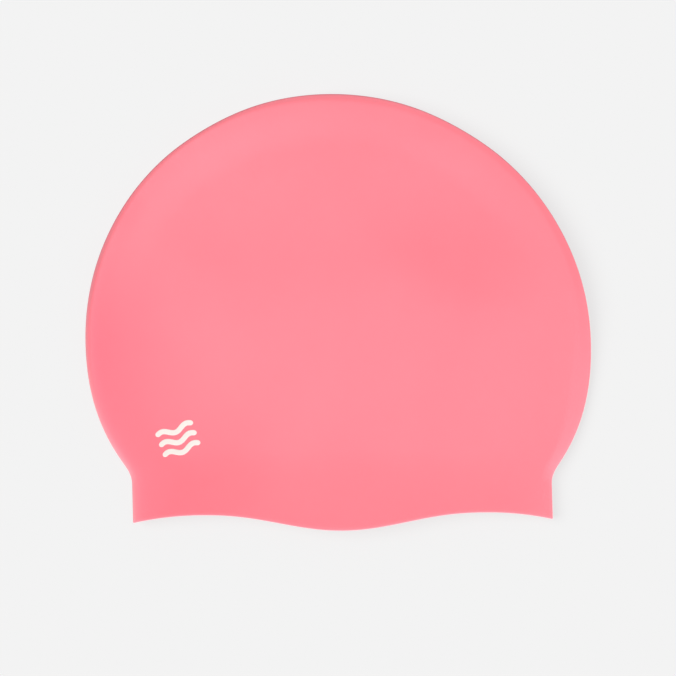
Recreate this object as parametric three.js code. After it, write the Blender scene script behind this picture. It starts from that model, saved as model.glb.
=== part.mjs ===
// A moulded silicone swim cap, emptied and laid on its side on a table. It is one thin rubber shell,
// rolled round the crown and open at the rim, with an air space between its two faces.
// Millimetres. X runs from the front fold to the back fold, Y from the rim to the crown, Z up.
// The origin is on the table, under the middle of the cap.
import * as THREE from "three";

// The outline, seen from above
const crownWidth = 220; // fold to fold, at the widest level
const crownRise = 106.7; // widest level to the top of the crown
const crownOverhang = 18.6; // how far the crown bulges past the neck band, on each side
const crownLean = 2.8; // how far the top of the crown lies to the left of its middle
const creaseEase = 2.8; // softness of the bend between the crown and the neck band
const neckBand = 19.5; // neck crease to the corners of the rim
const archInset = 29.4; // corner of the rim to the top of the arch beside it
const archRise = 3.4; // corners of the rim to the tops of the arches
const flapDrop = 7.4; // tops of the arches to the tip of the ear flap
const flapPoint = 1.2; // how pointed the flap is: 1 is a plain cosine wave
const rimSlant = 1.8; // how much higher the right corner of the rim lies than the left one

// The shell, as it lies
const wall = 1; // the silicone
const foldHeight = 7.4; // outermost line of the rolled edge above the table, where it is fullest
const foldRoll = 6.4; // that line to the crest of the roll, seen from above, where it is fullest
const valleyHeight = 12.4; // upper face above the table, in the valley beside the ridge
const ridgeRise = 2.2; // ridge along the rolled edge above the valley, where it is fullest
const ridgeSpan = 24; // fold to the foot of the ridge
const pillowRise = 1.6; // middle of the upper face above the valley
const pillowSpan = 66; // fold to where the upper face stops rising
const neckHeight = 8.4; // upper face above the table, beside the folds of the neck band
const neckBlend = 52; // neck crease to where the upper face has its full height
const mouthFlare = 1.8; // how much the upper lip opens below the crease
const dentDepth = 2; // the deepest dent in the upper face
const lipInset = 0.8; // how far the lower lip lies inside the upper one, in the middle

// Sections of the crown: `up` is a share of crownRise, from the widest level, and `fullness` is the
// width there as a share of what a plain ellipse has.
const crownSections = [
  { up: -0.56, fullness: 0.994 },
  { up: -0.42, fullness: 1.006 },
  { up: -0.28, fullness: 1.008 },
  { up: 0, fullness: 1 },
  { up: 0.4, fullness: 0.995 },
  { up: 0.74, fullness: 0.991 },
  { up: 0.9, fullness: 0.979 },
  { up: 1, fullness: 1 },
];

// Stations along the fold, from the left corner of the rim over the crown to the right corner.
// `way` is the share of the fold's length, `full` the share of foldHeight and foldRoll that the
// rolled edge has there, and `ridge` the share of ridgeRise.
const foldStations = [
  { way: 0, full: 0.5, ridge: 0 },
  { way: 0.05, full: 0.6, ridge: 0.35 },
  { way: 0.12, full: 0.8, ridge: 0.9 },
  { way: 0.2, full: 0.9, ridge: 1 },
  { way: 0.28, full: 0.9, ridge: 0.5 },
  { way: 0.38, full: 0.9, ridge: 0.3 },
  { way: 0.5, full: 0.95, ridge: 0.4 },
  { way: 0.6, full: 1, ridge: 0.8 },
  { way: 0.7, full: 1, ridge: 1 },
  { way: 0.79, full: 0.95, ridge: 0.7 },
  { way: 0.88, full: 0.8, ridge: 0.4 },
  { way: 0.95, full: 0.6, ridge: 0.3 },
  { way: 1, full: 0.5, ridge: 0 },
];

// Main dents in the upper face. `across` and `up` place the middle of each one, as shares of half
// the crown's width and of crownRise. `long` and `broad` are half its length and half its breadth,
// as shares of the crown's width, `turn` is the angle from X to its long way, in degrees, and
// `depth` is a share of dentDepth.
const dents = [
  { across: 0.56, up: 0.5, long: 0.2, broad: 0.09, turn: -46, depth: 0.9 },
  { across: 0.28, up: 0.52, long: 0.15, broad: 0.07, turn: 8, depth: 0.45 },
  { across: -0.74, up: -0.06, long: 0.18, broad: 0.09, turn: 102, depth: 1 },
  { across: -0.52, up: -0.4, long: 0.18, broad: 0.08, turn: 148, depth: 0.9 },
  { across: 0.3, up: -0.46, long: 0.24, broad: 0.07, turn: 4, depth: 0.4 },
];

// How finely the shell is faceted
const neckRows = 5; // rings from the rim to the crease
const crownRows = 27; // rings from the crease to the top of the crown
const sheetColumns = 34; // steps across one face, from fold to fold
const foldSteps = 180; // steps along each side of the fold, for measuring how far a point is from it

const crownHalf = crownWidth / 2;
const neckHalf = crownHalf - crownOverhang;
const archHalf = neckHalf - archInset;
const creaseTurn = Math.PI - Math.asin(neckHalf / crownHalf); // seen from the crown's middle
const creaseLevel = crownRise * Math.cos(creaseTurn);
const cornerLevel = creaseLevel - neckBand;
const flapLevel = cornerLevel + archRise - flapDrop;
const middleLevel = (crownRise + flapLevel) / 2;
const ringSteps = 2 * sheetColumns;
const degree = Math.PI / 180;

// Value of a table's column where its column `key` has the value `at`, on a smooth curve through
// the rows.
function lookUp(table, key, column, at) {
  const last = table.length - 1;
  const next = THREE.MathUtils.clamp(table.filter((row) => row[key] <= at).length, 1, last);
  const [before, from, to, after] = [-2, -1, 0, 1].map((step) => {
    return table[THREE.MathUtils.clamp(next + step, 0, last)];
  });
  const span = to[key] - from[key];
  const share = THREE.MathUtils.clamp((at - from[key]) / span, 0, 1);
  const slopeFrom = (to[column] - before[column]) / (to[key] - before[key]);
  const slopeTo = (after[column] - from[column]) / (after[key] - from[key]);
  const rest = 1 - share;
  return (
    from[column] * (1 + 2 * share) * rest ** 2 +
    to[column] * (1 + 2 * rest) * share ** 2 +
    span * share * rest * (slopeFrom * rest - slopeTo * share)
  );
}

// Half the width of the cap at a level above (or below) its widest one: the crown, or the neck band
// where that is wider, with the bend between them eased.
function halfWidth(level) {
  const up = level / crownRise;
  const ellipse = crownHalf * Math.sqrt(Math.max(0, 1 - up ** 2));
  const crown = ellipse * lookUp(crownSections, "up", "fullness", up);
  if (level > 0) return crown;
  const bend = Math.max(0, creaseEase - Math.abs(crown - neckHalf));
  return Math.max(crown, neckHalf) + bend ** 2 / (4 * creaseEase);
}

// The rim's level at a distance from the middle of the neck band: an ear flap between two arches,
// which fall away to the corners.
function rimLevel(x) {
  const reach = Math.abs(x);
  const archLevel = cornerLevel + archRise + (rimSlant * x) / (2 * neckHalf);
  if (reach > archHalf) return archLevel - archRise * ((reach - archHalf) / archInset) ** 2;
  return archLevel - flapDrop * ((1 + Math.cos((Math.PI * reach) / archHalf)) / 2) ** flapPoint;
}

// A point of the shell seen from above. `rise` is -1 at the rim, 0 at the crease and 1 at the top of
// the crown, and `across` runs from -1 at the left fold to 1 at the right one.
function planPoint(rise, across) {
  const neckShare = Math.max(0, -rise);
  const crownTurn = creaseTurn * (1 - Math.max(0, rise));
  const level = crownRise * Math.cos(crownTurn) - neckShare * neckBand;
  const x = across * halfWidth(level);
  const rowLevel = level + neckShare * (rimLevel(x) - cornerLevel);
  return new THREE.Vector2(x - (crownLean * level) / crownRise, rowLevel - middleLevel);
}

// The fold, as short straight pieces from the left corner of the rim to the right one, with how full
// the rolled edge is along it.
function makeFold() {
  const points = [];
  for (let i = 0; i < foldSteps; i++) points.push(planPoint((2 * i) / foldSteps - 1, -1));
  for (let i = foldSteps; i >= 0; i--) points.push(planPoint((2 * i) / foldSteps - 1, 1));
  const lengths = [0];
  for (let i = 1; i < points.length; i++) lengths.push(lengths[i - 1] + points[i].distanceTo(points[i - 1]));
  return points.map((point, i) => {
    const way = lengths[i] / lengths[lengths.length - 1];
    return {
      point,
      full: lookUp(foldStations, "way", "full", way),
      ridge: lookUp(foldStations, "way", "ridge", way),
    };
  });
}

const fold = makeFold();

// The place on the fold that lies nearest to a point, with its distance.
function nearestFold(point) {
  let nearest = { distance: Infinity };
  for (let i = 1; i < fold.length; i++) {
    const from = fold[i - 1];
    const to = fold[i];
    const along = to.point.clone().sub(from.point);
    const share = point.clone().sub(from.point).dot(along) / along.lengthSq();
    const place = THREE.MathUtils.clamp(share, 0, 1);
    const distance = from.point.clone().lerp(to.point, place).distanceTo(point);
    if (distance >= nearest.distance) continue;
    nearest = {
      distance,
      full: THREE.MathUtils.lerp(from.full, to.full, place),
      ridge: THREE.MathUtils.lerp(from.ridge, to.ridge, place),
    };
  }
  return nearest;
}

// How deep the dents are at a point. Each one is a smooth oval bowl.
function dentAt(point) {
  let depth = 0;
  for (const dent of dents) {
    const middle = new THREE.Vector2(dent.across * crownHalf, dent.up * crownRise - middleLevel);
    const offset = point.clone().sub(middle).rotateAround(new THREE.Vector2(), -dent.turn * degree);
    const u = offset.x / (dent.long * crownWidth);
    const v = offset.y / (dent.broad * crownWidth);
    depth += dentDepth * dent.depth * Math.max(0, 1 - u ** 2 - v ** 2) ** 2;
  }
  return depth;
}

// Height of the outer side of the upper face above the table.
function upperHeight(point) {
  const { distance, full, ridge } = nearestFold(point);
  const level = point.y + middleLevel;
  const crownShare = smoothStep(creaseLevel, creaseLevel + neckBlend, level);
  const flare = mouthFlare * Math.max(0, (creaseLevel - level) / neckBand);
  const inward = smoothStep(ridgeSpan / 2, pillowSpan, distance);
  const valley = THREE.MathUtils.lerp(neckHeight, valleyHeight, crownShare);
  const dent = dentAt(point) * smoothStep(0, ridgeSpan, distance);
  const face = valley + (pillowRise + flare) * inward - dent;
  const roll = foldRoll * full;
  const crest = face + ridgeRise * ridge * (1 - smoothStep(roll, ridgeSpan, distance));
  return rollHeight(foldHeight * full, crest, roll, distance);
}

// Height of the outer side of the lower face, which lies flat on the table inside the roll.
function lowerHeight(point) {
  const { distance, full } = nearestFold(point);
  return rollHeight(foldHeight * full, 0, foldRoll * full, distance);
}

// Height at a distance from the fold on a quarter of an oval, from the fold to the crest of the roll.
function rollHeight(foldLine, crest, roll, distance) {
  const rest = Math.max(0, 1 - distance / roll);
  return foldLine + (crest - foldLine) * Math.sqrt(1 - rest ** 2);
}

// 0 up to `from`, 1 beyond `to`, and a smooth rise between them.
function smoothStep(from, to, value) {
  return THREE.MathUtils.smoothstep(value, from, to);
}

// One point of the outer skin. `step` counts round the ring: from the left fold over the upper face
// to the right fold, and back under the lower face.
function skinPoint(rise, step) {
  const across = -Math.cos((Math.PI * step) / sheetColumns);
  const point = planPoint(rise, across);
  if (step % sheetColumns === 0) return [point.x, point.y, foldHeight * nearestFold(point).full];
  if (step < sheetColumns) return [point.x, point.y, upperHeight(point)];
  point.y += lipInset * (1 - across ** 2) * Math.max(0, -rise);
  return [point.x, point.y, lowerHeight(point)];
}

// The outer skin: rings from the rim to the crown, and one point that closes it at the top.
function outerSkin() {
  const positions = [];
  for (let row = -neckRows; row < crownRows; row++) {
    const rise = row < 0 ? row / neckRows : row / crownRows;
    for (let step = 0; step < ringSteps; step++) positions.push(...skinPoint(rise, step));
  }
  positions.push(...skinPoint(1, 0));
  return positions;
}

// Triangles of a skin whose points begin at `first`, facing out.
function skinFaces(first) {
  const faces = [];
  const rings = neckRows + crownRows;
  for (let ring = 0; ring < rings; ring++) {
    for (let i = 0; i < ringSteps; i++) {
      const here = first + ring * ringSteps + i;
      const beside = first + ring * ringSteps + ((i + 1) % ringSteps);
      if (ring === rings - 1) {
        faces.push([here, beside, first + rings * ringSteps]);
        continue;
      }
      faces.push([here, beside, beside + ringSteps]);
      faces.push([here, beside + ringSteps, here + ringSteps]);
    }
  }
  return faces;
}

// The edge of the rubber at the rim, between the outer skin's first ring and the inner skin's.
function lipFaces(innerFirst) {
  const faces = [];
  for (let i = 0; i < ringSteps; i++) {
    const beside = (i + 1) % ringSteps;
    faces.push([innerFirst + i, innerFirst + beside, beside]);
    faces.push([innerFirst + i, beside, i]);
  }
  return faces;
}

// A geometry with smooth normals from a flat list of positions and a list of triangles.
function makeGeometry(positions, faces) {
  const geometry = new THREE.BufferGeometry();
  geometry.setAttribute("position", new THREE.Float32BufferAttribute(positions, 3));
  geometry.setIndex(faces.flat());
  geometry.computeVertexNormals();
  return geometry;
}

// The shell: the outer skin, the same skin moved in by the wall, and the lip that joins them.
function makeShell() {
  const outer = outerSkin();
  const normals = makeGeometry(outer, skinFaces(0)).getAttribute("normal").array;
  const inner = outer.map((value, i) => value - wall * normals[i]);
  const innerFirst = outer.length / 3;
  const innerFaces = skinFaces(innerFirst).map((face) => face.toReversed());
  const faces = [...skinFaces(0), ...innerFaces, ...lipFaces(innerFirst)];
  const geometry = makeGeometry([...outer, ...inner], faces);
  const silicone = new THREE.MeshStandardMaterial({ color: 0xff8f9c, roughness: 0.5, metalness: 0 });
  const shell = new THREE.Mesh(geometry, silicone);
  shell.name = "cap_shell";
  return shell;
}

const cap = new THREE.Group();
cap.add(makeShell());

export default cap;
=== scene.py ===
import math

import bpy
import numpy as np
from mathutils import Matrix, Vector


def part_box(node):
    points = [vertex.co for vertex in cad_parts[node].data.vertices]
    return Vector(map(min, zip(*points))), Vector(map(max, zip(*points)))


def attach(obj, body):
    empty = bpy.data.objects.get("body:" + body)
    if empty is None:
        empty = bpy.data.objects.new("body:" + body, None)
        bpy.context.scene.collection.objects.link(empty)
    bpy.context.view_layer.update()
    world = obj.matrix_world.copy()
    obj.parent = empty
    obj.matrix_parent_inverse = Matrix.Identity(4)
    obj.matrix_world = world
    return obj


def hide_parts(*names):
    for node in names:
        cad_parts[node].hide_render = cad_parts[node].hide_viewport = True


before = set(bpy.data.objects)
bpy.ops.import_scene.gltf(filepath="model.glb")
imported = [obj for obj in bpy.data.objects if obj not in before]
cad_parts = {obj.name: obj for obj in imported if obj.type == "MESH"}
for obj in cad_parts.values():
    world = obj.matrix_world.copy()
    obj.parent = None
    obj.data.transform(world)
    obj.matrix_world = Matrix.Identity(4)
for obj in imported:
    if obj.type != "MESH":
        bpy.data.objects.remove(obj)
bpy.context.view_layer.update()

# A moulded silicone swim cap that lies on its side on a pale table, seen from straight above.
# Lengths in the dictionaries are in millimetres, colours are sRGB hex.
mm = 0.001
print("frame loaded:", ", ".join(sorted(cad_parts)))


# An sRGB hex colour as linear light.
def hexToLinear(colour):
    channels = [int(colour[i:i + 2], 16) / 255 for i in (1, 3, 5)]
    linear = [c / 12.92 if c <= 0.04045 else ((c + 0.055) / 1.055) ** 2.4 for c in channels]
    return (*linear, 1)


# Adds a node, sets its values and sockets, and links other nodes' outputs to it.
def addNode(tree, kind, settings={}, links={}):
    node = tree.nodes.new(kind)
    for name, value in settings.items():
        if isinstance(name, str) and hasattr(node, name):
            setattr(node, name, value)
        else:
            node.inputs[name].default_value = value
    for name, output in links.items():
        tree.links.new(output, node.inputs[name])
    return node


def newMaterial(name):
    material = bpy.data.materials.new(name)
    material.use_nodes = True
    material.node_tree.nodes.clear()
    return material


def newPiece(name, points, faces, material):
    mesh = bpy.data.meshes.new(name)
    mesh.from_pydata(points.tolist(), [], faces)
    mesh.validate()
    mesh.shade_smooth()
    mesh.materials.append(material)
    piece = bpy.data.objects.new(name, mesh)
    bpy.context.scene.collection.objects.link(piece)
    return piece


# The cap's form. Its outline has the part's own sizes, and it lies a little flatter than the solid.
capForm = {
    "crownWidth": 220,  # fold to fold, at the widest level
    "crownRise": 106.7,  # widest level to the top of the crown
    "crownOverhang": 18.6,  # how far the crown bulges past the neck band
    "crownLean": 2.8,  # how far the top of the crown lies to the left
    "creaseEase": 2.8,  # softness of the bend above the neck band
    "neckBand": 19.5,  # neck crease to the corners of the rim
    "archInset": 29.4,  # each corner of the rim to the top of the arch beside it
    "archRise": 3.4,  # corners of the rim to the tops of the arches
    "flapDrop": 7.4,  # tops of the arches to the tip of the ear flap
    "flapPoint": 1.2,  # how pointed the flap is: 1 is a plain cosine wave
    "rimSlant": 1.8,  # how much higher the right corner of the rim lies than the left one
    "wall": 1,  # the silicone
    "foldHeight": 9,  # outermost line of the rolled edge above the table
    "foldRoll": 4.4,  # that line to the crest of the roll, seen from above
    "bendSize": 0.55,  # radius of the tight bend at the fold itself
    "shoulderStraight": 0.55,  # how much of the shoulder inside it is a straight slope
    "lowerRoll": 8,  # outermost line to where the lower face rests on the table
    "neckHeight": 6.8,  # upper face above the table at the neck crease
    "valleyHeight": 10,  # upper face above the table where the crown is fully raised
    "neckBlend": 96,  # neck crease to where that is
    "ridgeRise": 1.1,  # low ridge inside the rolled edge
    "ridgeSpan": 22,  # outermost line to the foot of the ridge
    "pillowRise": 0.5,  # middle of the upper face above its sides
    "pillowSpan": 62,  # outermost line to where the upper face stops rising
    "mouthFlare": 1.8,  # how much the upper lip opens towards the rim
    "flareSpan": 30,  # corners of the rim to where it starts to open
    "flareEase": 1.5,  # how late it opens: 1 is a straight slope
    "flareLean": 0.3,  # share by which it opens more at the left corner and less at the right one
    "dentDepth": 1.6,  # a dent of depth 1
    "lipInset": 0.8,  # how far the lower lip lies inside the upper one, in the middle
    "lipRound": 0.4,  # how far the moulded edge of the rim bulges out
}

# How finely the cap is meshed.
capMesh = {
    "neckRows": 18,
    "crownRows": 92,
    "lastRise": 0.965,  # where the rings end, from 0 at the crease to 1 at the top of the crown
    "topRows": 8,  # rows that turn the last ring over the fold at the top of the crown
    "topSteps": 150,  # steps of the fold on each side of the top that those rows may meet
    "sheetColumns": 150,
    "lipRows": 6,
    "foldSteps": 600,  # steps along each half of the fold
    "pointsAtOnce": 2000,
}

# Sections of the crown: `up` is a share of crownRise and `fullness` of a plain ellipse's width.
crownSections = [
    {"up": -0.56, "fullness": 0.994},
    {"up": -0.42, "fullness": 1.006},
    {"up": -0.28, "fullness": 1.008},
    {"up": 0, "fullness": 1},
    {"up": 0.4, "fullness": 0.995},
    {"up": 0.74, "fullness": 0.991},
    {"up": 0.9, "fullness": 0.979},
    {"up": 1, "fullness": 1},
]

# Stations along the fold, from the left corner of the rim over the crown to the right corner.
# `full` is a share of foldHeight, `roll` of foldRoll and `ridge` of ridgeRise, and the last column
# is how much light is painted on the rubber along the fold there.
foldStations = [
    {"way": 0, "full": 0.64, "roll": 0.6, "ridge": 0, "thin": 0.9},
    {"way": 0.05, "full": 0.64, "roll": 0.6, "ridge": 0.3, "thin": 0.9},
    {"way": 0.12, "full": 0.66, "roll": 0.6, "ridge": 0.6, "thin": 0.9},
    {"way": 0.2, "full": 0.86, "roll": 0.6, "ridge": 0.4, "thin": 0.7},
    {"way": 0.28, "full": 1.03, "roll": 0.6, "ridge": 0.7, "thin": 0.4},
    {"way": 0.38, "full": 1.13, "roll": 0.5, "ridge": 1.2, "thin": 0.3},
    {"way": 0.5, "full": 1.06, "roll": 0.85, "ridge": 0.8, "thin": 0.4},
    {"way": 0.6, "full": 1.07, "roll": 0.8, "ridge": 0.8, "thin": 0.3},
    {"way": 0.7, "full": 1.05, "roll": 0.9, "ridge": 1, "thin": 0.2},
    {"way": 0.79, "full": 0.86, "roll": 1.2, "ridge": 0.6, "thin": 0.1},
    {"way": 0.88, "full": 0.36, "roll": 2, "ridge": 0.1, "thin": 0.1},
    {"way": 0.95, "full": 0.48, "roll": 1.2, "ridge": 0, "thin": 0.3},
    {"way": 1, "full": 0.52, "roll": 0.9, "ridge": 0, "thin": 0.3},
]
foldColumns = ("full", "roll", "ridge", "thin")

# Dents in the upper face: `across` and `up` place the middle, as shares of half the crown's width
# and of crownRise, `long` and `broad` are half the length and breadth, as shares of the crown's
# width, `turn` is in degrees, and `depth` is a share of dentDepth.
dents = [
    {"across": 0.44, "up": 0.48, "long": 0.22, "broad": 0.16, "turn": -36, "depth": 0.9},
    {"across": -0.62, "up": -0.16, "long": 0.3, "broad": 0.18, "turn": 110, "depth": 0.9},
]

form = capForm
crownHalf = form["crownWidth"] / 2
neckHalf = crownHalf - form["crownOverhang"]
archHalf = neckHalf - form["archInset"]
creaseTurn = math.pi - math.asin(neckHalf / crownHalf)
creaseLevel = form["crownRise"] * math.cos(creaseTurn)
cornerLevel = creaseLevel - form["neckBand"]
flapLevel = cornerLevel + form["archRise"] - form["flapDrop"]
middleLevel = (form["crownRise"] + flapLevel) / 2

lowCorner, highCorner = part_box("cap_shell")
drawingUnit = (highCorner.x - lowCorner.x) / form["crownWidth"]  # metres for a millimetre here


# Value of a table's column on a smooth curve through its rows.
def lookUp(table, key, column, at):
    keys = np.array([row[key] for row in table], float)
    values = np.array([row[column] for row in table], float)
    last = len(table) - 1
    to = np.clip(np.searchsorted(keys, at, side="right"), 1, last)
    start = to - 1
    before = np.maximum(to - 2, 0)
    after = np.minimum(to + 1, last)
    span = keys[to] - keys[start]
    share = np.clip((at - keys[start]) / span, 0, 1)
    rest = 1 - share
    slopeFrom = (values[to] - values[before]) / (keys[to] - keys[before])
    slopeTo = (values[after] - values[start]) / (keys[after] - keys[start])
    return (
        values[start] * (1 + 2 * share) * rest ** 2
        + values[to] * (1 + 2 * rest) * share ** 2
        + span * share * rest * (slopeFrom * rest - slopeTo * share)
    )


# 0 up to `start`, 1 beyond `end`, and a smooth rise between them.
def smoothStep(start, end, value):
    share = np.clip((value - start) / (end - start), 0, 1)
    return share * share * (3 - 2 * share)


# Half the cap's width at a level, which is measured up from the widest one.
def halfWidth(level):
    up = level / form["crownRise"]
    ellipse = crownHalf * np.sqrt(np.maximum(0, 1 - up ** 2))
    crown = ellipse * lookUp(crownSections, "up", "fullness", up)
    bend = np.maximum(0, form["creaseEase"] - np.abs(crown - neckHalf))
    eased = np.maximum(crown, neckHalf) + bend ** 2 / (4 * form["creaseEase"])
    return np.where(level > 0, crown, eased)


# The rim: an ear flap between two arches, which fall away to the corners.
def rimLevel(x):
    reach = np.abs(x)
    archLevel = cornerLevel + form["archRise"] + form["rimSlant"] * x / (2 * neckHalf)
    corner = archLevel - form["archRise"] * ((reach - archHalf) / form["archInset"]) ** 2
    wave = (1 + np.cos(np.pi * np.minimum(reach, archHalf) / archHalf)) / 2
    flap = archLevel - form["flapDrop"] * wave ** form["flapPoint"]
    return np.where(reach > archHalf, corner, flap)


# Seen from above: `rise` is -1 at the rim, 0 at the crease and 1 at the top of the crown, and
# `across` is -1 at the left fold and 1 at the right one.
def planPoint(rise, across):
    neckShare = np.maximum(0, -rise)
    crownTurn = creaseTurn * (1 - np.maximum(0, rise))
    level = form["crownRise"] * np.cos(crownTurn) - neckShare * form["neckBand"]
    x = across * halfWidth(level)
    y = level + neckShare * (rimLevel(x) - cornerLevel) - middleLevel
    return x - form["crownLean"] * level / form["crownRise"], y


# The outermost line of the cap as points, with each station column's value at every point.
def makeFold():
    steps = capMesh["foldSteps"]
    rises = 2 * np.arange(steps) / steps - 1
    rises = np.concatenate([rises, [1], rises[::-1]])
    sides = np.where(np.arange(len(rises)) < steps, -1, 1)
    x, y = planPoint(rises, sides)
    lengths = np.concatenate([[0], np.cumsum(np.hypot(np.diff(x), np.diff(y)))])
    way = lengths / lengths[-1]
    columns = {column: lookUp(foldStations, "way", column, way) for column in foldColumns}
    return {"x": x, "y": y, **columns}


fold = makeFold()


# Distance to the fold, and each station column at the nearest place on it, for a few points.
def nearestToFew(x, y):
    startX, startY = fold["x"][:-1], fold["y"][:-1]
    alongX, alongY = np.diff(fold["x"]), np.diff(fold["y"])
    share = (x[:, None] - startX) * alongX + (y[:, None] - startY) * alongY
    share = np.clip(share / (alongX ** 2 + alongY ** 2), 0, 1)
    offX = x[:, None] - startX - share * alongX
    offY = y[:, None] - startY - share * alongY
    gap = offX ** 2 + offY ** 2
    nearest = np.argmin(gap, axis=1)
    rows = np.arange(len(x))
    at = share[rows, nearest]
    found = {"distance": np.sqrt(gap[rows, nearest])}
    for column in foldColumns:
        found[column] = fold[column][nearest] * (1 - at) + fold[column][nearest + 1] * at
    return found


# The same for any number of points, a few at a time, so that it needs little memory.
def nearestFold(x, y):
    step = capMesh["pointsAtOnce"]
    blocks = [nearestToFew(x[i:i + step], y[i:i + step]) for i in range(0, len(x), step)]
    return {key: np.concatenate([block[key] for block in blocks]) for key in blocks[0]}


# Height of the outermost line above the table, at its nearest place.
def foldLineHeight(x, y):
    return form["foldHeight"] * nearestFold(x, y)["full"]


def dentAt(x, y):
    depth = np.zeros_like(x)
    for dent in dents:
        offX = x - dent["across"] * crownHalf
        offY = y - dent["up"] * form["crownRise"] + middleLevel
        turn = math.radians(dent["turn"])
        u = (offX * math.cos(turn) + offY * math.sin(turn)) / (dent["long"] * form["crownWidth"])
        v = (offY * math.cos(turn) - offX * math.sin(turn)) / (dent["broad"] * form["crownWidth"])
        bowl = np.maximum(0, 1 - u ** 2 - v ** 2) ** 2
        depth += form["dentDepth"] * dent["depth"] * bowl
    return depth


# Height from the fold to the crest of the roll: the tight bend of the rubber at the fold itself,
# and the shoulder inside it.
def rollHeight(foldLine, crest, roll, distance):
    size = form["bendSize"]
    bend = np.sqrt(1 - np.maximum(0, 1 - distance / size) ** 2)
    share = np.minimum(1, distance / roll)
    straight = form["shoulderStraight"]
    shoulder = share - np.maximum(0, share - straight) ** 2 / (2 * (1 - straight))
    shoulder = shoulder * 2 / (1 + straight)
    bendRise = np.clip(crest - foldLine, -size, size)
    return foldLine + bendRise * bend + (crest - foldLine - bendRise) * shoulder


# How much the upper lip is opened.
def flareAt(x, level):
    share = np.maximum(0, (cornerLevel + form["flareSpan"] - level) / form["flareSpan"])
    return form["mouthFlare"] * share ** form["flareEase"] * (1 - form["flareLean"] * x / neckHalf)


def upperHeight(x, y):
    nearest = nearestFold(x, y)
    distance = nearest["distance"]
    level = y + middleLevel
    crownShare = smoothStep(creaseLevel, creaseLevel + form["neckBlend"], level)
    side = form["neckHeight"] + (form["valleyHeight"] - form["neckHeight"]) * crownShare
    middle = form["pillowRise"] * smoothStep(form["ridgeSpan"] / 2, form["pillowSpan"], distance)
    inside = smoothStep(0, form["ridgeSpan"], distance)
    face = side + middle + (flareAt(x, level) - dentAt(x, y)) * inside
    reach = form["foldRoll"] * nearest["roll"]
    ridge = 1 - smoothStep(reach, form["ridgeSpan"], distance)
    crest = face + form["ridgeRise"] * nearest["ridge"] * ridge
    return rollHeight(form["foldHeight"] * nearest["full"], crest, reach, distance)


# The lower face rests on the table and turns up to the fold on a quarter of an oval.
def lowerHeight(x, y):
    nearest = nearestFold(x, y)
    rest = np.maximum(0, 1 - nearest["distance"] / form["lowerRoll"])
    return form["foldHeight"] * nearest["full"] * (1 - np.sqrt(1 - rest ** 2))


# One ring of the outer skin: over the upper face to the right fold and back under the lower face.
def skinRing(rise):
    columns = capMesh["sheetColumns"]
    steps = np.arange(2 * columns)
    across = -np.cos(np.pi * steps / columns)
    x, y = planPoint(np.full(len(steps), float(rise)), across)
    y = y + np.where(steps > columns, form["lipInset"] * (1 - across ** 2) * max(0, -rise), 0)
    z = np.where(steps <= columns, upperHeight(x, y), lowerHeight(x, y))
    return np.column_stack([x, y, np.where(steps % columns == 0, foldLineHeight(x, y), z)])


# Faces between two closed rings of `count` points, whose first points are `here` and `there`.
def ringFaces(here, there, count):
    faces = []
    for i in range(count):
        after = (i + 1) % count
        faces.append((here + i, here + after, there + after, there + i))
    return faces


# The lid: from the last ring's upper half over the fold at the top of the crown to its lower half.
def makeLid(ring):
    inner = np.arange(1, capMesh["sheetColumns"])
    x, y = ring[inner, 0], ring[inner, 1]
    top = np.argmax(fold["y"])
    near = slice(top - capMesh["topSteps"], top + capMesh["topSteps"])
    foldY = np.interp(x, fold["x"][near], fold["y"][near])
    rows = []
    for step in range(1, capMesh["topRows"]):
        rowY = y + (foldY - y) * math.sin(math.pi / 2 * step / capMesh["topRows"])
        rows.append((rowY, upperHeight(x, rowY), lowerHeight(x, rowY)))
    upper = [np.column_stack([x, rowY, high]) for rowY, high, low in rows]
    lower = [np.column_stack([x, rowY, low]) for rowY, high, low in rows[::-1]]
    edge = np.column_stack([x, foldY, foldLineHeight(x, foldY)])
    return [*upper, edge, *lower]


# The outer skin's points and faces: rings from the rim up, and the lid.
def makeSkin(rises):
    columns = capMesh["sheetColumns"]
    count = 2 * columns
    rings = [skinRing(rise) for rise in rises]
    faces = []
    for i in range(len(rings) - 1):
        faces += ringFaces(i * count, (i + 1) * count, count)
    last = (len(rings) - 1) * count
    lid = makeLid(rings[-1])
    # each row of the lid runs from the left end of the last ring to its right end
    rows = [list(range(last, last + columns + 1))]
    start = len(rings) * count
    for row in lid:
        rows.append([last, *range(start, start + len(row)), last + columns])
        start += len(row)
    rows.append([last, *range(last + count - 1, last + columns, -1), last + columns])
    for here, there in zip(rows, rows[1:]):
        for i in range(columns):
            corners = dict.fromkeys((here[i], here[i + 1], there[i + 1], there[i]))
            faces.append(tuple(corners))
    return np.vstack([*rings, *lid]), faces


# Each point's normal: the mean of the triangles and quads around it, weighted by their areas.
def pointNormals(points, faces):
    normals = np.zeros_like(points)
    for sides in (3, 4):
        polygons = np.array([face for face in faces if len(face) == sides])
        corner = points[polygons]
        cross = np.cross(corner[:, 2] - corner[:, 0], corner[:, -1] - corner[:, 1])
        for i in range(sides):
            np.add.at(normals, polygons[:, i], cross)
    return normals / np.linalg.norm(normals, axis=1, keepdims=True)


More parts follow.
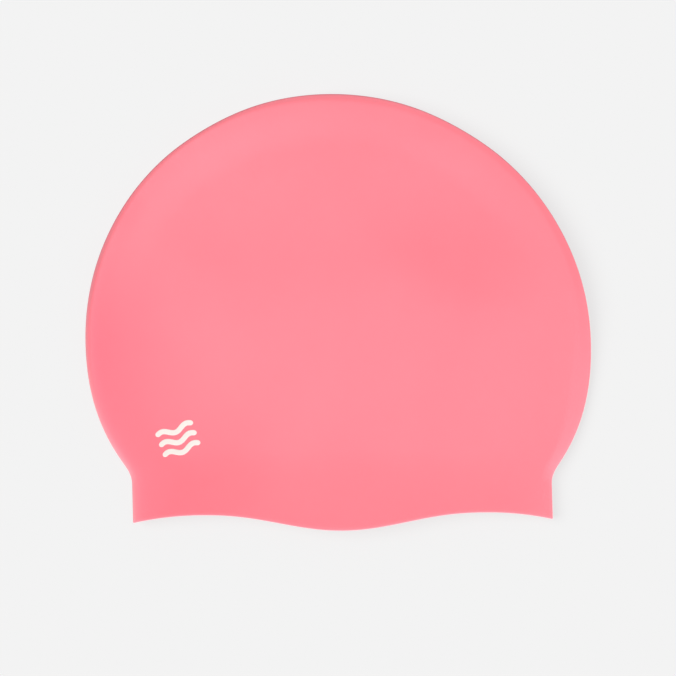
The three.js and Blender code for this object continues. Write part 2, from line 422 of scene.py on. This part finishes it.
# The whole cap: the outer skin, the inner one a wall inside it, and the lip that joins them.
def makeCapMesh():
    lipShare = form["lipRound"] / form["neckBand"]
    rises = list(np.linspace(lipShare - 1, 0, capMesh["neckRows"], endpoint=False))
    rises += list(np.linspace(0, capMesh["lastRise"], capMesh["crownRows"]))
    outer, skinFaces = makeSkin(rises)
    inner = outer - form["wall"] * pointNormals(outer, skinFaces)
    # the two halves of the inner skin may touch but never cross
    foldLine = foldLineHeight(outer[:, 0], outer[:, 1])
    above, below = np.maximum(inner[:, 2], foldLine), np.minimum(inner[:, 2], foldLine)
    inner[:, 2] = np.where(outer[:, 2] >= foldLine, above, below)
    count = 2 * capMesh["sheetColumns"]
    outerRim, innerRim = outer[:count], inner[:count]
    middle, half = (outerRim + innerRim) / 2, (outerRim - innerRim) / 2
    outward = outerRim - outer[count:2 * count]
    outward = outward / np.linalg.norm(outward, axis=1, keepdims=True) * form["lipRound"]
    turns = np.pi * np.arange(1, capMesh["lipRows"]) / capMesh["lipRows"]
    lip = [middle + half * math.cos(turn) + outward * math.sin(turn) for turn in turns]
    points = np.vstack([outer, inner, *lip])
    innerFirst = len(outer)
    faces = list(skinFaces)
    faces += [tuple(innerFirst + corner for corner in face[::-1]) for face in skinFaces]
    starts = [0, *(2 * innerFirst + i * count for i in range(len(lip))), innerFirst]
    for here, there in zip(starts, starts[1:]):
        faces += ringFaces(there, here, count)
    return points * drawingUnit, faces


# Silicone rubber, compression-moulded in a sand-blasted steel mould: an even, saturated colour
# with a soft matt bloom instead of reflections. Deeper areas on it are painted shade, and paler
# areas and a pale band along the fold are painted light.
siliconeLook = {
    "colour": "#fb7f8b",
    "colourDeep": "#fa7986",
    "mottleSize": 34,  # drifts of pigment
    "paintedShadeTone": "#fb6677",  # painted shade: a deeper coral
    "thinTone": "#fba0aa",  # painted light: a paler coral
    "thinReach": 1.5,  # how far from the fold the painted light along it has faded to a third
    "glossSize": 22,  # patches that are a little more or less matt
    "glossNoise": (0.3, 0.7),  # lowest and highest that the noise comes to in most places
    "patchDetail": 3,  # layers of the noise in the drifts and patches
    "grainSize": 0.9,  # the real blast grain is about 0.1 mm: drawn coarser, so that it shows
    "grainDepth": 0.008,
    "roughness": (0.57, 0.61),
    "ior": 1.41,
    "subsurface": 0.08,
    "subsurfaceDepth": 1,  # as deep as the wall
    "subsurfaceShares": (1, 0.35, 0.3),  # red light goes deepest
    "sheen": 0.5,
    "sheenRoughness": 0.3,
}

# Painted shade and painted light: deeper and paler areas on the upper face. `across`, `up`, `long`,
# `broad` and `turn` are as in the dents, and `share` is how much of that painted tone shows.
paintedShadeAndLightAreas = [
    {"across": -1, "up": -0.1, "long": 0.34, "broad": 0.24, "turn": 95,
     "tone": "paintedShadeTone", "share": 0.62},
    {"across": -0.8, "up": -0.62, "long": 0.4, "broad": 0.28, "turn": 0,
     "tone": "paintedShadeTone", "share": 0.32},
    {"across": 0.44, "up": 0.47, "long": 0.34, "broad": 0.2, "turn": -35,
     "tone": "paintedShadeTone", "share": 0.1},
    {"across": -0.5, "up": 0.68, "long": 0.36, "broad": 0.22, "turn": 40,
     "tone": "thinTone", "share": 0.1},
    {"across": -0.84, "up": 0.51, "long": 0.07, "broad": 0.045, "turn": 60,
     "tone": "paintedShadeTone", "share": 0.2},
    {"across": 0.1, "up": -0.1, "long": 0.28, "broad": 0.2, "turn": 0,
     "tone": "thinTone", "share": 0.03},
    {"across": -0.04, "up": 0.56, "long": 0.3, "broad": 0.18, "turn": 0,
     "tone": "thinTone", "share": 0.08},
]

# The sockets of a colour's Mix node, several of which have the same name.
mixShare, mixFirst, mixSecond, mixResult = 0, 6, 7, 2


# A soft-edged oval area of the cap in object coordinates: its share in the middle, 0 at its edge.
def addArea(tree, place, area):
    across = area["across"] * crownHalf * drawingUnit
    up = (area["up"] * form["crownRise"] - middleLevel) * drawingUnit
    size = form["crownWidth"] * drawingUnit
    moved = addNode(
        tree, "ShaderNodeMapping",
        {
            "vector_type": "TEXTURE",
            "Location": (across, up, 0),
            "Rotation": (0, 0, math.radians(area["turn"])),
            "Scale": (area["long"] * size, area["broad"] * size, 1),
        },
        {"Vector": place},
    )
    fromMiddle = addNode(
        tree, "ShaderNodeVectorMath", {"operation": "LENGTH"}, {"Vector": moved.outputs["Vector"]},
    )
    return addNode(
        tree, "ShaderNodeMapRange",
        {
            "interpolation_type": "SMOOTHSTEP",
            "From Min": 1,
            "From Max": 0,
            "To Min": 0,
            "To Max": area["share"],
        },
        {"Value": fromMiddle.outputs["Value"]},
    ).outputs["Result"]


def makeSiliconeMaterial():
    look = siliconeLook
    material = newMaterial("mouldedSilicone")
    tree = material.node_tree
    place = addNode(tree, "ShaderNodeTexCoord").outputs["Object"]
    mottle = addNode(
        tree, "ShaderNodeTexNoise",
        {"Scale": 1 / (look["mottleSize"] * mm), "Detail": look["patchDetail"]},
        {"Vector": place},
    )
    colour = addNode(
        tree, "ShaderNodeMix",
        {
            "data_type": "RGBA",
            mixFirst: hexToLinear(look["colour"]),
            mixSecond: hexToLinear(look["colourDeep"]),
        },
        {mixShare: mottle.outputs["Fac"]},
    )
    # Painted shade and painted light: deeper and paler areas laid over the upper face.
    for area in paintedShadeAndLightAreas:
        share = addArea(tree, place, area)
        colour = addNode(
            tree, "ShaderNodeMix",
            {"data_type": "RGBA", mixSecond: hexToLinear(look[area["tone"]])},
            {mixShare: share, mixFirst: colour.outputs[mixResult]},
        )
    # Painted light: the rubber drawn paler near the fold, where the edge is lit.
    thin = addNode(tree, "ShaderNodeAttribute", {"attribute_name": "thinRubber"})
    colour = addNode(
        tree, "ShaderNodeMix",
        {"data_type": "RGBA", mixSecond: hexToLinear(look["thinTone"])},
        {mixShare: thin.outputs["Fac"], mixFirst: colour.outputs[mixResult]},
    )
    gloss = addNode(
        tree, "ShaderNodeTexNoise",
        {"Scale": 1 / (look["glossSize"] * mm), "Detail": look["patchDetail"]},
        {"Vector": place},
    )
    fromLow, fromHigh = look["glossNoise"]
    toLow, toHigh = look["roughness"]
    roughness = addNode(
        tree, "ShaderNodeMapRange",
        {"From Min": fromLow, "From Max": fromHigh, "To Min": toLow, "To Max": toHigh},
        {"Value": gloss.outputs["Fac"]},
    )
    grain = addNode(
        tree, "ShaderNodeTexNoise", {"Scale": 1 / (look["grainSize"] * mm)}, {"Vector": place},
    )
    bump = addNode(
        tree, "ShaderNodeBump",
        {"Distance": look["grainDepth"] * mm}, {"Height": grain.outputs["Fac"]},
    )
    shader = addNode(
        tree, "ShaderNodeBsdfPrincipled",
        {
            "IOR": look["ior"],
            "Subsurface Weight": look["subsurface"],
            "Subsurface Radius": look["subsurfaceShares"],
            "Subsurface Scale": look["subsurfaceDepth"] * mm,
            "Sheen Weight": look["sheen"],
            "Sheen Roughness": look["sheenRoughness"],
        },
        {
            "Base Color": colour.outputs[mixResult],
            "Roughness": roughness.outputs["Result"],
            "Normal": bump.outputs["Normal"],
        },
    )
    addNode(tree, "ShaderNodeOutputMaterial", {}, {"Surface": shader.outputs["BSDF"]})
    return material


# How much light is painted at each point of the mesh along the fold, for the silicone's colour.
def markPaintedEdgeLight(piece):
    places = np.array([point.co for point in piece.data.vertices]) / drawingUnit
    nearest = nearestFold(places[:, 0], places[:, 1])
    values = nearest["thin"] * np.exp(-nearest["distance"] / siliconeLook["thinReach"])
    piece.data.attributes.new("thinRubber", "FLOAT", "POINT").data.foreach_set("value", values)


cap = newPiece("swim_cap", *makeCapMesh(), makeSiliconeMaterial())
markPaintedEdgeLight(cap)
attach(cap, "root")
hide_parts("cap_shell")
print("cap:", len(cap.data.polygons), "faces")

# The print near the left fold: three plain waves, one above the other.
printForm = {
    "middle": (-69.6, -55.4),
    "turn": 20,  # degrees
    "waves": 3,
    "waveGap": 4.6,  # from one wave to the next
    "waveLength": 17,
    "waveRise": 1.1,  # how far each wave swings to either side
    "swings": 1.5,  # whole swings in its length
    "lineWidth": 2.3,
    "inkRise": 0.05,  # how thick the ink lies on the silicone
    "inkSink": 0.15,  # how deep its closed edge reaches into the silicone
    "inkSide": 0.5,  # share of its thickness where the ink's side ends and its bevel starts
    "inkBevel": 0.94,  # share of the line's half width where the bevel meets the top
    "inkFlat": 0.85,  # and where a second row of points keeps the top flat
    "endReach": 0.02,  # keeps the first and the last section from closing to a point
    "steps": 72,
}

# Silicone ink, screen-printed and cured: a warm white, satin layer with the faint unevenness that
# the squeegee leaves, and a hint of the coral under it.
inkLook = {
    "colour": "#e6e2db",
    "colourThin": "#e4d8d2",  # where the coral shows through a little
    "patchSize": 3,
    "meshSize": 0.6,  # the screen's threads are about 0.1 mm apart: drawn coarser
    "meshDepth": 0.01,
    "roughness": 0.5,
    "ior": 1.41,
}


# One printed line: a closed ribbon with rounded ends that lies on the upper face.
def makeWave(number):
    turn = math.radians(printForm["turn"])
    share = np.linspace(0, 1, printForm["steps"] + 1)
    along = (share - 0.5) * printForm["waveLength"]
    swing = 2 * np.pi * printForm["swings"]
    place = ((printForm["waves"] - 1) / 2 - number) * printForm["waveGap"]
    aside = printForm["waveRise"] * np.sin(swing * share) + place
    slope = printForm["waveRise"] * swing * np.cos(swing * share) / printForm["waveLength"]
    steep = np.sqrt(1 + slope ** 2)
    halfLine = printForm["lineWidth"] / 2
    fromEnd = printForm["waveLength"] / 2 - np.abs(along)
    closing = np.clip(1 - (fromEnd + printForm["endReach"]) / halfLine, 0, 1)
    width = halfLine * np.sqrt(1 - closing ** 2)
    top, foot = printForm["inkRise"], -printForm["inkSink"]
    edge = top * printForm["inkSide"]
    # one side of the section: shares of the half width, and heights over the silicone
    side = [(1, foot), (1, edge), (printForm["inkBevel"], top), (printForm["inkFlat"], top)]
    rows = []
    for out, height in [(-part, height) for part, height in side] + side[::-1]:
        u = along - out * width * slope / steep
        v = aside + out * width / steep
        x = printForm["middle"][0] + u * math.cos(turn) - v * math.sin(turn)
        y = printForm["middle"][1] + u * math.sin(turn) + v * math.cos(turn)
        rows.append(np.column_stack([x, y, upperHeight(x, y) + height]))
    points = np.stack(rows, axis=1)
    corners = len(rows)
    faces = []
    for i in range(len(points) - 1):
        faces += ringFaces((i + 1) * corners, i * corners, corners)
    faces.append(tuple(range(corners)))
    faces.append(tuple(range(len(points) * corners - 1, (len(points) - 1) * corners - 1, -1)))
    return points.reshape(-1, 3) * drawingUnit, faces


def makeInkMaterial():
    look = inkLook
    material = newMaterial("screenPrintedInk")
    tree = material.node_tree
    place = addNode(tree, "ShaderNodeTexCoord").outputs["Object"]
    patches = addNode(
        tree, "ShaderNodeTexNoise", {"Scale": 1 / (look["patchSize"] * mm)}, {"Vector": place},
    )
    colour = addNode(
        tree, "ShaderNodeMix",
        {
            "data_type": "RGBA",
            mixFirst: hexToLinear(look["colour"]),
            mixSecond: hexToLinear(look["colourThin"]),
        },
        {mixShare: patches.outputs["Fac"]},
    )
    threads = addNode(
        tree, "ShaderNodeTexNoise", {"Scale": 1 / (look["meshSize"] * mm)}, {"Vector": place},
    )
    bump = addNode(
        tree, "ShaderNodeBump",
        {"Distance": look["meshDepth"] * mm}, {"Height": threads.outputs["Fac"]},
    )
    shader = addNode(
        tree, "ShaderNodeBsdfPrincipled",
        {"IOR": look["ior"], "Roughness": look["roughness"]},
        {"Base Color": colour.outputs[mixResult], "Normal": bump.outputs["Normal"]},
    )
    addNode(tree, "ShaderNodeOutputMaterial", {}, {"Surface": shader.outputs["BSDF"]})
    return material


def makePrint():
    points, faces = [], []
    for number in range(printForm["waves"]):
        wavePoints, waveFaces = makeWave(number)
        first = sum(len(earlier) for earlier in points)
        points.append(wavePoints)
        faces += [tuple(first + corner for corner in face) for face in waveFaces]
    return np.vstack(points), faces


wavePrint = newPiece("wave_print", *makePrint(), makeInkMaterial())
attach(wavePrint, "root")
print("print:", len(wavePrint.data.polygons), "faces")

# The table is a lit one, so it darkens only a little in the cap's shadow.
stage = {
    "floorColour": "#ffffff",
    "floorGlow": 0.753,  # the light that it gives by itself
    "floorShade": 0.07,  # how much of the lamps' light it gives back
    "floorSize": 6,  # metres
    "floorGap": 0.05,  # how far the table lies under the cap, so that the two faces don't meet
    "worldColour": "#ffffff",
    "worldStrength": 0.55,
    "pixelsAcross": 676,
    "pixelsPerMm": 2.3,
    "viewMiddle": (-0.13, -11.09),
    "viewLevel": 7.4,  # height above the table at which that scale holds
    "cameraHeight": 1.2,  # metres
    "sensorWidth": 36,
}

# Each sun: the side it shines from, clockwise from the top of the picture, its height above the
# table, its breadth (all in degrees), its strength, and what it lights.
suns = {
    "capSun": {"side": 168, "height": 38, "breadth": 40, "strength": 3.57, "lights": "cap"},
    "tableSun": {"side": 278, "height": 50, "breadth": 46, "strength": 6.13, "lights": "table"},
}


def makeFloor():
    half = stage["floorSize"] / 2
    corners = np.array([(-half, -half, 0), (half, -half, 0), (half, half, 0), (-half, half, 0)])
    material = newMaterial("litTable")
    tree = material.node_tree
    colour = hexToLinear(stage["floorColour"])
    shader = addNode(
        tree, "ShaderNodeBsdfPrincipled",
        {
            "Base Color": tuple(stage["floorShade"] * channel for channel in colour[:3]) + (1,),
            "Roughness": 1,
            "Specular IOR Level": 0,
            "Emission Color": colour,
            "Emission Strength": stage["floorGlow"],
        },
    )
    addNode(tree, "ShaderNodeOutputMaterial", {}, {"Surface": shader.outputs["BSDF"]})
    floor = newPiece("table_top", corners, [(0, 1, 2, 3)], material)
    floor.location.z = -stage["floorGap"] * mm
    return floor


def makeLights(floor):
    world = bpy.data.worlds.new("studio")
    bpy.context.scene.world = world
    world.use_nodes = True
    background = world.node_tree.nodes["Background"]
    background.inputs["Color"].default_value = hexToLinear(stage["worldColour"])
    background.inputs["Strength"].default_value = stage["worldStrength"]
    lit = {"cap": [cap, wavePrint], "table": [floor]}
    for name, sun in suns.items():
        light = bpy.data.lights.new(name, "SUN")
        light.energy = sun["strength"]
        light.angle = math.radians(sun["breadth"])
        lamp = bpy.data.objects.new(name, light)
        tilt = math.radians(90 - sun["height"])
        lamp.rotation_euler = (tilt, 0, math.radians(180 - sun["side"]))
        bpy.context.scene.collection.objects.link(lamp)
        receivers = bpy.data.collections.new(name + "Receivers")
        for piece in lit[sun["lights"]]:
            receivers.objects.link(piece)
        lamp.light_linking.receiver_collection = receivers


def makeCamera():
    lens = bpy.data.cameras.new("overhead")
    camera = bpy.data.objects.new("overhead", lens)
    viewWidth = stage["pixelsAcross"] / stage["pixelsPerMm"] * mm
    distance = stage["cameraHeight"] - stage["viewLevel"] * mm
    lens.sensor_width = stage["sensorWidth"]
    lens.lens = stage["sensorWidth"] * distance / viewWidth
    x, y = stage["viewMiddle"]
    camera.location = (x * mm, y * mm, stage["cameraHeight"])
    bpy.context.scene.collection.objects.link(camera)
    bpy.context.scene.camera = camera


makeLights(makeFloor())
makeCamera()
bpy.context.scene.view_settings.view_transform = "Standard"
print("table, lights and camera in place")
